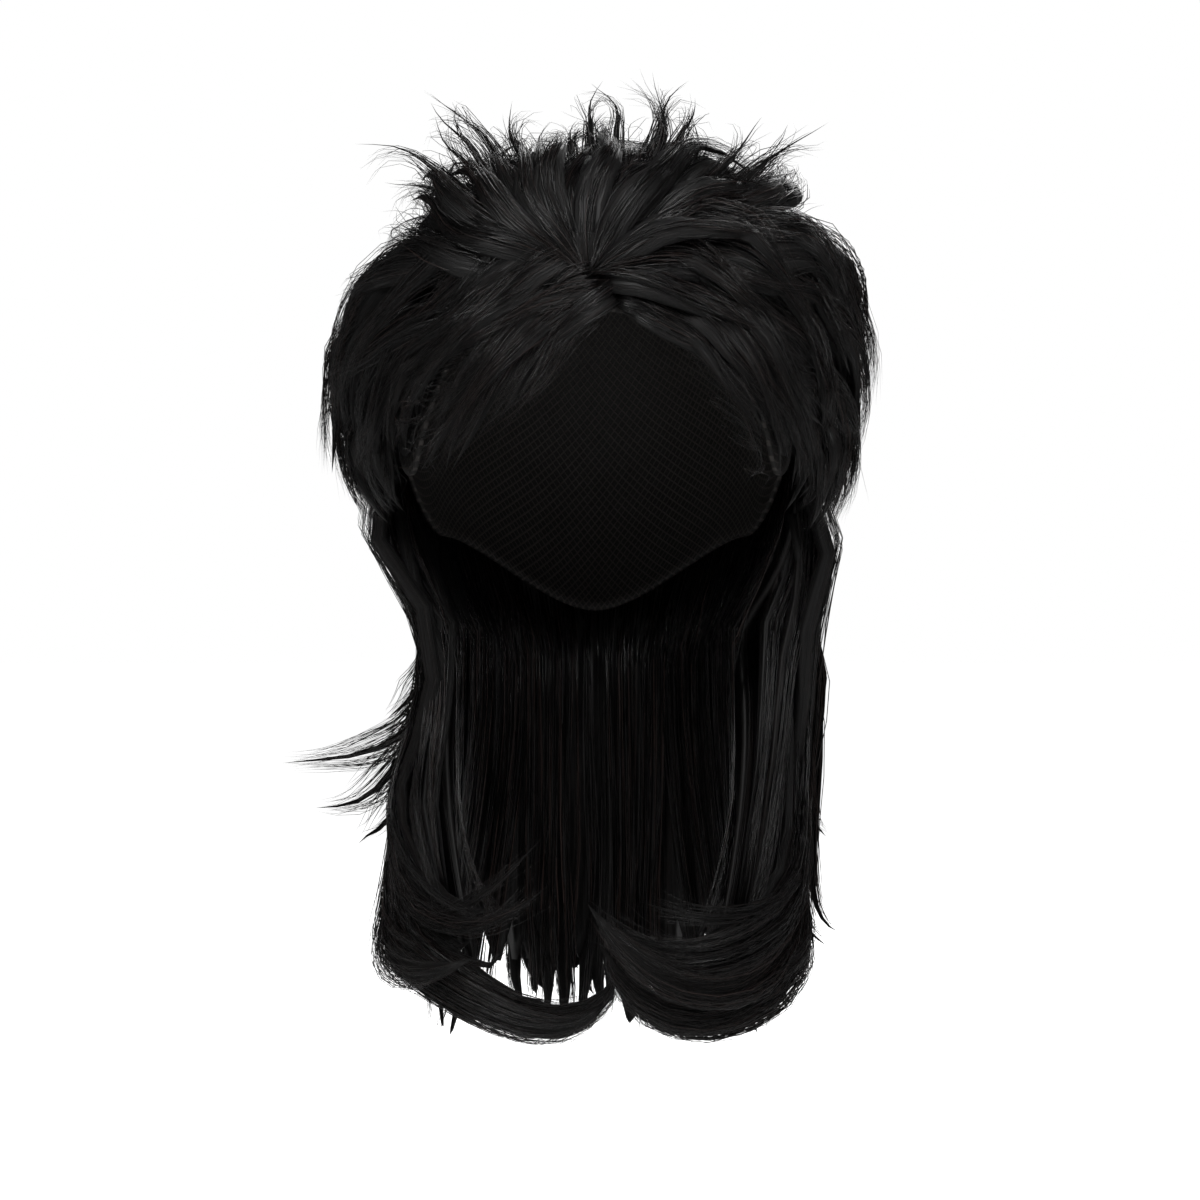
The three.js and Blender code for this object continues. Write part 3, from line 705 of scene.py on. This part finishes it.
crown = {
    "name": "crown_strands", "node": "crown_hair", "weld": True,
    "packed": packedHead({"around": (-180, 180), "down": (0, 50)}, 60, 14, 0.36, True),
    "rows": [
        {"ring": (258, 76), "far": 3, "locks": 18, "strands": 600, "turn": (58, -12),
         "length": (1.05, 1.1), "lift": (0.72, 0.7), "shoulder": 0.34, "curl": 0.004, "wave": 0.005,
         "steps": 9, "band": 5, "core": (0.015, 0.007)},
        {"ring": (264, 80), "far": 14, "locks": 16, "strands": 470, "turn": (44, -8),
         "length": (1.0, 1.05), "lift": 0.64, "shoulder": 0.4, "flick": 0.06, "curl": 0.005,
         "wave": 0.005, "hooked": 0.004, "steps": 9, "band": 6, "core": (0.015, 0.007)},
        {"ring": (286, 72), "far": 28, "locks": 15, "strands": 390, "turn": (14, 0),
         "length": (0.88, 0.9), "lift": (0.62, 0.64), "shoulder": 0.44, "flick": 0.12, "curl": 0.005,
         "wave": 0.0045, "hooked": 0.006, "steps": 9, "band": 6},
        {"ring": (280, 80), "far": 44, "locks": 14, "strands": 340, "length": 0.8, "lift": (0.62, 0.64),
         "shoulder": 0.36, "flick": 0.14, "curl": 0.005, "wave": 0.004, "hooked": 0.006, "steps": 8,
         "band": 6},
        {"ring": (250, 110), "far": 62, "locks": 12, "strands": 340, "length": 0.95, "lift": 0.68,
         "shoulder": 0.1, "flick": 0.1, "curl": 0.006, "wave": 0.004, "steps": 8, "band": 6},
        # spikes that stand up from the crown, with hooked tips
        {"ring": (233, 129), "far": 43, "locks": 18, "strands": 480, "flick": (0.92, 0.94),
         "flicks": (0.45, 1.12), "curl": 0.005, "hooked": 0.012, "band": 6, "stray": 7,
         "core": (0.003, 0.002), "late": 1.2, **spiky},
        {"ring": (242, 120), "far": 50, "locks": 17, "strands": 440, "flick": 0.38, "flicks": (0.6, 1.15),
         "curl": 0.006, "hooked": 0.014, "band": 8, "stray": 9, "core": False, **spiky},
        # hooked tufts down both sides
        {"ring": (270, 304), "length": (0.34, 0.3), "lift": (0.92, 0.84), "flick": (0.06, 0.16),
         **tufted},
        {"ring": (56, 88), "length": (0.3, 0.34), "lift": (0.84, 0.9), "flick": (0.16, 0.06), **tufted},
        # single hairs that loop over between them
        {"ring": (252, 110), "far": 46, "locks": 110, "strands": 220, "length": 0.26, "lift": 0.62,
         "flick": (0.54, 0.56), "flicks": (0.6, 1.15), "sweep": 1.1, "curl": 0.004, "droop": 0.004,
         "hooked": 0.013, "steps": 10, "band": 11, "width": 0.00036, "clump": 0.5, "fray": 0.003,
         "thin": 0.4, "stray": 14, "core": False},
    ]}
dressPiece(crown)

fringeRight = {
    "name": "fringe_right_strands", "node": "fringe_right",
    "packed": packedHead({"around": (-32, 1), "down": (40, 55)}, 16, 8, 0.4),
    "rows": [
        {"around": (6, -24), "down": (50, 43), "heading": (-58, -64), "locks": 8, "strands": 460,
         "turn": (4, 6), "length": 1.16, "lift": (0.96, 0.9), "band": 5, "wave": 0.004, "width": 0.0004,
         "core": (0.013, 0.005)},
        {"around": (9, -24), "down": (58, 53), "heading": (-54, -52), "locks": 9, "strands": 420,
         "turn": 6, "length": (1.05, 1.12), "lift": (1.1, 1.0), "band": 3, "wave": 0.003,
         "width": 0.00036, "thin": 0.45, "core": (0.011, 0.004)},
        {"around": (6, -20), "down": (60, 56), "heading": -44, "locks": 7, "strands": 120,
         "length": (0.8, 1.0), "lift": (1.1, 1.0), "band": 3, "wave": 0.003, "width": 0.00028,
         "thin": 0.5, "core": False, "fray": 0.003},
    ]}
dressPiece(fringeRight)

fringeLeft = {
    "name": "fringe_left_strands", "node": "fringe_left",
    "packed": packedHead({"around": (-1, 32), "down": (40, 55)}, 16, 8, 0.4),
    "rows": [
        {"around": (2, 28), "down": (50, 42), "heading": (68, 74), "locks": 8, "strands": 470,
         "turn": (14, 10), "length": (1.1, 1.16), "lift": (0.96, 0.94), "band": 5, "wave": 0.006,
         "width": 0.0004, "core": (0.013, 0.006)},
        {"around": (5, 34), "down": (58, 55), "heading": (58, 44), "locks": 9, "strands": 460, "stray": 4,
         "turn": (4, 8), "length": (1.1, 1.05), "lowest": 0.85, "lift": (1.1, 1.0), "band": 3,
         "wave": 0.005, "width": 0.00036, "thin": 0.4, "core": (0.012, 0.005)},
        {"around": (13, 32), "down": (60, 58), "heading": (50, 38), "locks": 7, "strands": 180,
         "stray": 2, "turn": (2, 6), "length": (0.9, 0.8), "lowest": 0.85, "lift": (1.1, 1.0), "band": 2,
         "wave": 0.003, "width": 0.0004, "thin": 0.36, "core": (0.012, 0.003), "fray": 0.0015},
    ]}
dressPiece(fringeLeft)

sideRight = {
    "name": "side_right_strands", "node": "side_right",
    "packed": packedHead({"around": (-124, -28), "down": (36, 93)}, 36, 16, 0.5),
    "rows": [
        {"around": (-30, -110), "down": (44, 42), "heading": (-66, -6), "locks": 12, "strands": 700,
         "turn": (6, 2), "length": 0.95, "lift": (0.95, 1.0), "flick": (0.08, 0.1), "flicks": (0.1, 1.8),
         "wave": 0.004, "curl": 0.004, "hooked": 0.007, "fray": 0.002},
        {"around": (-40, -114), "down": (56, 54), "heading": (-46, -2), "locks": 11, "strands": 580,
         "turn": (6, 2), "length": 0.9, "lift": 1.02, "flick": 0.18, "flicks": (0.1, 1.8), "wave": 0.004,
         "curl": 0.005, "hooked": 0.008, "fray": 0.002},
        {"around": (-54, -116), "down": (67, 66), "heading": (-22, 2), "locks": 10, "strands": 480,
         "turn": (8, 6), "length": 0.78, "lift": 1.0, "flick": 0.12, "curl": 0.005, "hooked": 0.007},
        {"around": (-66, -118), "down": (80, 78), "heading": (-10, 4), "locks": 9, "strands": 330,
         "turn": 4, "length": 0.56, "lift": 1.04, "flick": -0.4, "curl": 0.006, "hooked": 0.004},
        {"around": (-43, -70), "down": (60, 84), "heading": (-26, 0), "locks": 6, "strands": 220,
         "turn": (6, 0), "length": (0.62, 0.42), "lift": (1.0, 0.9), "flick": (-0.05, -0.1),
         "width": 0.0004, "core": (0.011, 0.004)},
    ]}
dressPiece(sideRight)

sideLeft = {
    "name": "side_left_strands", "node": "side_left",
    "packed": packedHead({"around": (28, 124), "down": (36, 93)}, 36, 16, 0.5),
    "rows": [
        {"around": (30, 110), "down": (44, 42), "heading": (76, 6), "locks": 12, "strands": 700,
         "turn": (16, 4), "length": (1.0, 0.95), "lift": 1.0, "flick": 0.05, "flicks": (0.1, 1.6),
         "wave": 0.007, "curl": 0.004, "hooked": 0.006, "fray": 0.002},
        {"around": (38, 114), "down": (57, 54), "heading": (54, 2), "locks": 11, "strands": 580,
         "turn": (14, 2), "length": (0.95, 0.9), "lift": 1.02, "flick": 0.08, "flicks": (0.1, 1.6),
         "wave": 0.006, "curl": 0.004, "hooked": 0.007, "fray": 0.002},
        {"around": (52, 116), "down": (67, 66), "heading": (30, -2), "locks": 10, "strands": 500,
         "turn": (6, 0), "length": (0.84, 0.8), "lift": 1.0, "flick": 0.1, "curl": 0.004, "wave": 0.004,
         "hooked": 0.006},
        {"around": (66, 118), "down": (80, 78), "heading": (10, -4), "locks": 9, "strands": 330,
         "turn": -4, "length": (0.6, 0.58), "lift": 1.04, "flick": -0.3, "curl": 0.006},
        {"around": (43, 70), "down": (60, 84), "heading": (28, 0), "locks": 6, "strands": 220,
         "turn": (-6, 0), "length": (0.66, 0.46), "lift": (1.0, 0.9), "flick": (-0.05, -0.1),
         "width": 0.0004, "core": (0.011, 0.004)},
    ]}
dressPiece(sideLeft)

layered = {"around": (120, 240), "locks": 12, "strands": 370, "curl": 0.004, "wave": 0.004}
backHair = {
    "name": "back_strands", "node": "back_hair",
    "packed": packedHead({"around": (120, 240), "down": (30, 93)}, 40, 16, 0.45),
    "rows": [
        {**layered, "around": (116, 244), "down": 29, "heading": (-8, 8), "locks": 11, "strands": 350,
         "length": 0.9, "lift": 0.88, "flick": 0.04},
        {**layered, "down": 45, "heading": (-6, 6), "length": 0.95, "lift": 0.92, "flick": 0.06},
        {**layered, "down": 59, "heading": (-4, 4), "length": 0.95, "lift": 0.96, "flick": 0.06},
        {**layered, "down": 72, "heading": (-2, 2), "length": 0.9, "lift": 1.0, "flick": 0.02},
        {**layered, "down": 85, "heading": (-2, 2), "locks": 11, "strands": 300, "length": 0.98,
         "lift": 1.0, "flick": -0.1, "wave": 0.002, "thin": 0.5},
    ]}
dressPiece(backHair)

# the curtain's front edge, drawn on the wearer's left
frontEdge = [
    [(96, -112, 0.25, 0), (95, -160, 0.6, 0), (86, -205, 0.6, 0), (70, -240, 0.7, 0),
     (58, -268, 0.8, 0), (50, -292, 0.9, 0)],
    [(98, -116, 0.25, 0), (96, -160, 0.4, 0), (84, -210, 0.4, 0), (68, -248, 0.5, 0),
     (56, -280, 0.6, 0)]]
innerHair = {"fall": (0.78, 0.84), "wrap": (52, 22), "locks": 9, "strands": 150, "layer": 0,
             "width": 0.0007, "clump": 0.4, "core": False, "steps": 10}
frontHair = {"strands": 200, "breadth": 0.014, "deep": 0.006, "thin": 0.3, "clump": 0.3,
             "steps": 10, "core": (0.012, 0.005)}

tailRight = {
    "name": "tail_right_strands", "node": "tail_right",
    "packed": packedNeck(-1, 28, 24, 0.66, 0.84),
    "rows": [
        {"around": (-96, -150), "down": (95, 99), "fall": (0.78, 0.9), "wrap": (58, 30), "locks": 10,
         "strands": 420, "layer": (1.05, 1), "hook": (0.1, 0), "swing": 0.42, "sprout": 0.3,
         "burst": 0.16, "wave": 0.004, "steps": 10},
        {"around": (-100, -150), "down": (104, 110), "fall": (0.78, 0.88), "wrap": (62, 34), "locks": 8,
         "strands": 260, "layer": 0.8, "hook": (0.14, 0), "swing": 0.4, "wave": 0.004, "steps": 10},
        # flicks that turn out beside the jaw
        {"drawn": [[(-99, -124, 0.25, 0), (-99, -160, 0.9, 0), (-99, -192, 0.8, 0), (-98, -212, 0.8, 7),
                    (-97, -223, 0.8, 25), (-95, -227, 0.8, 50)],
                   [(-103, -126, 0.25, 0), (-102, -170, 0.9, 0), (-101, -206, 0.8, 0), (-100, -228, 0.8, 7),
                    (-99, -239, 0.8, 18), (-97, -242, 0.8, 34)],
                   [(-96, -122, 0.25, 0), (-97, -160, 0.8, 0), (-98, -184, 0.7, 2), (-98, -199, 0.7, 8),
                    (-97, -206, 0.7, 18)],
                   [(-106, -130, 0.25, 0), (-104, -190, 0.9, 0), (-102, -232, 0.9, 0), (-100, -250, 0.9, 4),
                    (-98, -258, 0.9, 12)]],
         "portions": (4, 2.6, 2, 1.6), "strands": 380, "breadth": 0.02, "deep": 0.008, "thin": 0.5,
         "facing": -20, "swell": ((0, 0.4, 0.7, 1), (0.2, 0.6, 1, 0.08)), "clump": 0.2, "fray": 0.002,
         "steps": 10, "core": (0.009, 0.005), "late": 1.6},
        # ends that curl forward over the collarbone
        {"drawn": [[(-104, -126, 0.25, 0), (-100, -190, 0.65, 0), (-92, -245, 0.7, 0), (-76, -284, 0.8, 0),
                    (-54, -303, 0.85, 0), (-34, -315, 0.8, 0), (-14, -320, 0.8, -2), (2, -314, 0.8, -4),
                    (9, -303, 0.8, -6)],
                   [(-112, -130, 0.25, 0), (-106, -196, 0.7, 0), (-98, -250, 0.75, 0), (-84, -288, 0.85, 0),
                    (-62, -304, 0.9, 0), (-40, -315, 0.95, 1), (-22, -322, 1, 2), (-6, -322, 1, 2),
                    (4, -314, 1, 0)],
                   [(-120, -132, 0.25, 0), (-112, -200, 0.7, 0), (-104, -254, 0.8, 0), (-92, -286, 0.9, 0),
                    (-74, -300, 0.95, 2), (-54, -303, 1, 5), (-38, -298, 1, 7)]],
         "portions": (4, 3, 2), "strands": 540, "breadth": 0.019, "deep": 0.009, "thin": 0.34,
         "clump": 0.1, "dense": 1, "swell": ((0, 0.5, 0.8, 1), (0.9, 0.95, 0.8, 0.1)), "fray": 0.001,
         "frizz": 0.0005, "core": (0.026, 0.007), "late": 4, "steps": 12},
        {"drawn": [[(-99, -124, 0.25, 0), (-96, -190, 0.8, 0), (-86, -244, 0.85, 0), (-66, -278, 0.9, 0),
                    (-42, -288, 0.95, 0), (-26, -281, 1, 0), (-15, -270, 1, 0)],
                   [(-98, -126, 0.25, 0), (-94, -200, 0.8, 0), (-80, -252, 0.85, 0), (-56, -280, 0.9, 0),
                    (-34, -272, 1, 0), (-17, -252, 1, 0)]],
         "portions": (3, 1), "strands": 170, "breadth": 0.014, "deep": 0.005, "thin": 0.5, "clump": 0.3,
         "fray": 0.004, "core": (0.008, 0.005), "steps": 12},
        # the curtain's front edge and inside
        {"drawn": [[(-around, *rest) for around, *rest in knots] for knots in frontEdge], **frontHair},
        {"around": (-98, -150), "down": (97, 112), **innerHair},
    ]}
dressPiece(tailRight)

tailLeft = {
    "name": "tail_left_strands", "node": "tail_left",
    "packed": packedNeck(1, 28, 24, 0.66, 0.84),
    "rows": [
        {"around": (96, 150), "down": (95, 99), "fall": (0.86, 0.9), "wrap": (54, 30), "locks": 10,
         "strands": 430, "layer": (1.05, 1), "hook": (0.1, 0), "swing": 0.45, "sprout": 0.3,
         "burst": 0.16, "wave": 0.004, "steps": 10},
        {"around": (100, 150), "down": (104, 110), "fall": (0.82, 0.88), "wrap": (60, 34), "locks": 8,
         "strands": 270, "layer": 0.8, "hook": (0.14, 0), "swing": 0.42, "wave": 0.004, "steps": 10},
        # small flicks at the outer edge
        {"drawn": [[(104, -126, 0.25, 0), (100, -200, 1, 0), (97, -252, 1, 0), (96, -276, 1, 1),
                    (95, -287, 1, 6), (94, -291, 1, 12)],
                   [(108, -130, 0.25, 0), (104, -210, 1, 0), (98, -266, 1, 0), (94, -290, 1, 1),
                    (92, -299, 1, 6)],
                   [(102, -124, 0.25, 0), (100, -180, 1, 0), (98, -228, 1, 0), (97, -248, 1, 1),
                    (96, -256, 1, 6)]],
         "strands": 110, "breadth": 0.01, "deep": 0.006, "thin": 0.4, "clump": 0.3, "steps": 10,
         "facing": 20, "swell": ((0, 0.5, 0.8, 1), (0.3, 0.6, 0.8, 0.1)), "core": (0.006, 0.003)},
        # ends that curl forward over the collarbone
        {"drawn": [[(106, -126, 0.25, 0), (104, -196, 0.65, 0), (96, -254, 0.75, 0), (80, -296, 0.85, 0),
                    (58, -314, 0.9, 0), (38, -321, 0.95, 1), (22, -317, 1, 2), (9, -305, 1, 1),
                    (2, -291, 1, 0)],
                   [(112, -130, 0.25, 0), (108, -200, 0.7, 0), (100, -256, 0.8, 0), (86, -292, 0.9, 0),
                    (64, -312, 0.95, 0), (44, -322, 0.9, -2), (28, -322, 0.8, -4), (13, -314, 0.8, -6),
                    (3, -300, 0.8, -8)],
                   [(104, -126, 0.25, 0), (100, -190, 0.6, 0), (92, -246, 0.7, 0), (76, -284, 0.8, 0),
                    (56, -302, 0.9, 2), (38, -308, 1, 4), (22, -304, 1, 6), (8, -292, 1, 6),
                    (-3, -277, 1, 5)],
                   [(118, -134, 0.25, 0), (112, -204, 0.7, 0), (104, -258, 0.8, 0), (92, -290, 0.9, 0),
                    (76, -306, 0.95, 0), (56, -314, 1, 0), (40, -314, 1, 0)],
                   [(102, -126, 0.25, 0), (98, -190, 0.7, 0), (88, -242, 0.8, 0), (70, -276, 0.9, 0),
                    (48, -294, 0.95, 0), (30, -298, 1, 0), (14, -292, 1, 0), (0, -278, 1, 0)]],
         "portions": (4, 4, 3, 2, 3), "strands": 680, "breadth": 0.019, "deep": 0.01, "thin": 0.34,
         "clump": 0.1, "swell": ((0, 0.5, 0.8, 1), (0.9, 1, 0.85, 0.1)), "fray": 0.001, "frizz": 0.0005,
         "dense": -1, "core": (0.027, 0.007), "late": 4, "steps": 12},
        {"drawn": [[(100, -124, 0.25, 0), (98, -190, 0.8, 0), (90, -240, 0.85, 0), (72, -272, 0.9, 0),
                    (50, -284, 0.95, 0), (30, -283, 1, 0), (15, -276, 1, 0)],
                   [(102, -128, 0.25, 0), (98, -200, 0.8, 0), (86, -250, 0.85, 0), (64, -284, 0.9, 0),
                    (40, -294, 0.95, 0), (18, -290, 1, 0), (-2, -276, 1, 0)]],
         "portions": (3, 2), "strands": 200, "breadth": 0.015, "deep": 0.005, "thin": 0.5, "clump": 0.3,
         "fray": 0.004, "core": (0.009, 0.005), "steps": 12},
        # the curtain's front edge and inside
        {"drawn": frontEdge, **frontHair},
        {"around": (98, 150), "down": (97, 112), **innerHair},
    ]}
dressPiece(tailLeft)

tailBack = {
    "name": "tail_back_strands", "node": "tail_back",
    "packed": packedNeck(0, 20, 24, 0.66, 0.84),
    "rows": [
        {"around": (148, 212), "down": 98, "fall": 0.89, "locks": 12, "strands": 540, "layer": 1,
         "steps": 9, "wave": 0.004},
        {"around": (150, 210), "down": 110, "fall": 0.84, "locks": 11, "strands": 380, "layer": 0.75,
         "steps": 9, "wave": 0.004},
        {"around": (154, 206), "down": 120, "fall": 0.8, "locks": 9, "strands": 170, "layer": 0.45,
         "steps": 9},
        {"around": (150, 210), "down": 124, "fall": 0.78, "locks": 12, "strands": 130, "layer": 0,
         "width": 0.0008, "clump": 0.4, "core": False, "steps": 9},
    ]}
dressPiece(tailBack)
print("hair made")


# the cap: a knitted net with an elastic edge

cap = {"name": "cap_net", "node": "wig_cap", "columns": 120, "rows": 44}


def capShell(piece):
    def pointAt(across, share, side):
        around = 360 * across - 180
        towards = directionOf(around, share * edgeDown(around))
        seam = 0.00035 * np.maximum(0, np.cos(2 * np.pi * share * 9)) ** 8
        roll = 0.0007 * smooth(share, 0.955, 0.985)
        height = capWall - 0.0003 + roll * 0.6 if side else -roll * 0.3 - seam + 0.0003
        return overHead(towards, height + 0 * share)
    return gridArrays(pointAt, piece["columns"], piece["rows"], True)


# a net of two crossing threads
def netWeave():
    group, given, out = nodeGroup(
        "net_weave", [("Map", "Vector", None), ("Across", "Float", 150.0), ("Down", "Float", 56.0),
                      ("Thread", "Color", (0.03, 0.026, 0.024, 1)),
                      ("Gap", "Color", (0.005, 0.0045, 0.004, 1))],
        [("Color", "Color"), ("Height", "Float")])
    link = group.links.new
    split = group.nodes.new("ShaderNodeSeparateXYZ")
    link(given.outputs["Map"], split.inputs[0])
    down = mathNode(group, "MULTIPLY", split.outputs["Y"], given.outputs["Down"])
    threads = []
    for slant in (1, -1):
        turned = mathNode(group, "MULTIPLY", down, slant)
        leaning = mathNode(group, "MULTIPLY_ADD", split.outputs["X"], given.outputs["Across"], turned)
        threads.append(mathNode(group, "PINGPONG", leaning, 0.5))
    mask = rangeNode(group, mathNode(group, "MINIMUM", *threads), (0.16, 0.06))
    link(blendNode(group, mask, given.outputs["Gap"], given.outputs["Thread"]), out.inputs["Color"])
    link(mask, out.inputs["Height"])
    return group


netLook = patterned("cap_net", netWeave(), {}, {"Roughness": 0.7, "Specular IOR Level": 0.3},
                    ("Height", 0.8, 0.0005))
capNet = meshObject(cap["name"], [(*capShell(cap), 0)], [netLook])
weld(capNet)
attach(capNet, "root")
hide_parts(cap["node"])
print("cap made")


# the camera is level with the middle of the wig, as in the photograph

def makeCamera():
    data = bpy.data.cameras.new("camera")
    camera = bpy.data.objects.new("camera", data)
    scene.collection.objects.link(camera)
    middle = Vector((0.002, 0.0, -0.1588))
    distance = 1.6
    data.sensor_width = 36
    data.lens = 36 * distance / 0.48
    camera.location = middle + Vector((0, -distance, 0))
    camera.rotation_euler = (np.pi / 2, 0, 0)
    scene.camera = camera


# white where the camera sees it, but hardly lighting the hair
def paleToCamera(tree):
    ray = tree.nodes.new("ShaderNodeLightPath")
    return rangeNode(tree, ray.outputs["Is Camera Ray"], (0, 1), (0.02, 1.0))


def makeStage():
    level, reach = -0.375, 12.0
    mesh = bpy.data.meshes.new("floor")
    corners = [(-reach, -reach, level), (reach, -reach, level), (reach, reach, level), (-reach, reach, level)]
    mesh.from_pydata(corners, [], [(0, 1, 2, 3)])
    floor = bpy.data.objects.new("floor", mesh)
    scene.collection.objects.link(floor)
    paint = bpy.data.materials.new("floor_paint")
    paint.use_nodes = True
    shader = paint.node_tree.nodes["Principled BSDF"]
    shader.inputs["Base Color"].default_value = (0.85, 0.85, 0.85, 1)
    shader.inputs["Roughness"].default_value = 0.9
    shader.inputs["Emission Color"].default_value = (1, 1, 1, 1)
    paint.node_tree.links.new(paleToCamera(paint.node_tree), shader.inputs["Emission Strength"])
    mesh.materials.append(paint)


def makeLight(name, place, target, size, power):
    data = bpy.data.lights.new(name, "AREA")
    data.shape = "RECTANGLE"
    data.size, data.size_y = size
    data.energy = power
    lamp = bpy.data.objects.new(name, data)
    lamp.location = place
    lamp.rotation_euler = (Vector(target) - Vector(place)).to_track_quat("-Z", "Y").to_euler()
    scene.collection.objects.link(lamp)


makeCamera()
makeStage()
makeLight("softbox_left", (-0.9, -1.3, 1.0), (0, 0, -0.1), (0.3, 0.7), 18)
makeLight("softbox_right", (1.1, -1.1, 0.8), (0, 0, -0.12), (0.3, 0.7), 14)
makeLight("overhead", (0, -0.4, 1.2), (0, 0, -0.1), (0.7, 0.3), 8)
makeLight("rear_softbox", (0.5, 1.4, 0.8), (0, 0, -0.12), (0.6, 0.8), 10)
world = bpy.data.worlds.new("world")
world.use_nodes = True
sky = world.node_tree.nodes["Background"]
sky.inputs["Color"].default_value = (1, 1, 1, 1)
world.node_tree.links.new(paleToCamera(world.node_tree), sky.inputs["Strength"])
scene.world = world
scene.view_settings.view_transform = "Standard"
print("camera, floor and lights made")
